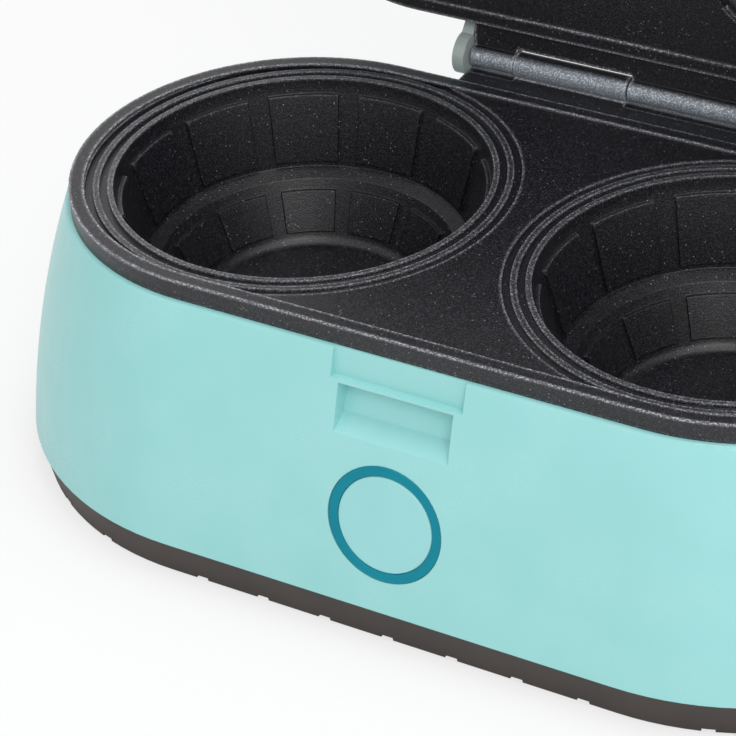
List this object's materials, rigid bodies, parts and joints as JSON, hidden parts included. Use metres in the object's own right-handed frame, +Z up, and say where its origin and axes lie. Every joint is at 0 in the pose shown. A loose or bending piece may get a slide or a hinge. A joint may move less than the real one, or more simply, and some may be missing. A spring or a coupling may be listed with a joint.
{
  "type": "waffle bowl maker",
  "caption": "Countertop waffle bowl maker: rounded oblong body with fluted cooking cavities, and a hinged lid with matching domes, standing open, with a latch at its front.",
  "frame": {"origin": "on the worktop, under the middle of the outline of the machine with its lid open on its stop", "axes": "+X runs along the two cavities to the right as seen from the front, +Y points to the hinge at the rear, +Z is up"},
  "size_m": [0.3232, 0.2186, 0.2626],
  "materials": {
    "aqua_plastic": "smooth moulded plastic, pale aqua",
    "teal_plastic": "smooth moulded plastic, teal",
    "pale_plastic": "smooth moulded plastic, pale aqua like the housing, bare",
    "dark_plastic": "fine-grained moulded plastic, dark warm grey",
    "nonstick": "cast aluminium under a black non-stick coat with fine light speckles",
    "steel": "plain plated steel",
    "rubber": "matt black rubber",
    "pale_block": "heat-proof moulded plastic, off-white",
    "lead_sleeve": "woven heat-proof sleeve",
    "red_lens": "clear red plastic, unlit",
    "green_lens": "clear green plastic, unlit",
    "board": "circuit board laminate",
    "lamp_glass": "small clear lamp bulbs"
  },
  "bodies": {
    "base": {"lower_housing": "aqua_plastic", "badge_ring": "teal_plastic", "badge_disc": "pale_plastic", "base_cover": "dark_plastic", "rubber_feet": "rubber", "cover_screws": "steel", "lower_plate": "nonstick", "lower_plate_screws": "steel", "lower_elements": "steel", "lower_heat_shield": "steel", "lower_shield_screws": "steel", "lower_thermostat": "steel", "thermal_fuse": "steel", "component_straps": "steel", "strap_screws": "steel", "terminal_block": "pale_block", "terminal_screws": "steel", "cord_clamp": "dark_plastic", "clamp_screws": "steel", "thermostat_lead": "lead_sleeve", "fuse_lead": "lead_sleeve", "cord_bushing": "rubber", "hinge_pin": "steel"},
    "lid": {"upper_plate": "nonstick", "upper_plate_screws": "steel", "upper_elements": "steel", "upper_heat_shield": "steel", "upper_shield_screws": "steel", "upper_thermostat": "steel", "upper_strap": "steel", "upper_strap_screws": "steel", "upper_housing": "aqua_plastic", "lid_cover": "aqua_plastic", "power_lens": "red_lens", "ready_lens": "green_lens", "lamp_board": "board", "lamps": "lamp_glass", "board_screws": "steel", "latch_pin": "steel", "latch_spring": "steel"},
    "latch": {"latch": "aqua_plastic"}
  },
  "joints": [
    {"name": "lid_hinge", "type": "hinge", "parent": "base", "child": "lid", "pos_m": [0, 0.05967, 0.0991], "axis": [1, 0, 0], "range_deg": [0, 95]},
    {"name": "latch_pivot", "type": "hinge", "parent": "lid", "child": "latch", "pos_m": [0, 0.08499, 0.25428], "axis": [-1, 0, 0], "range_deg": [0, 16], "stiffness_Nm_per_rad": 0.03}
  ]
}
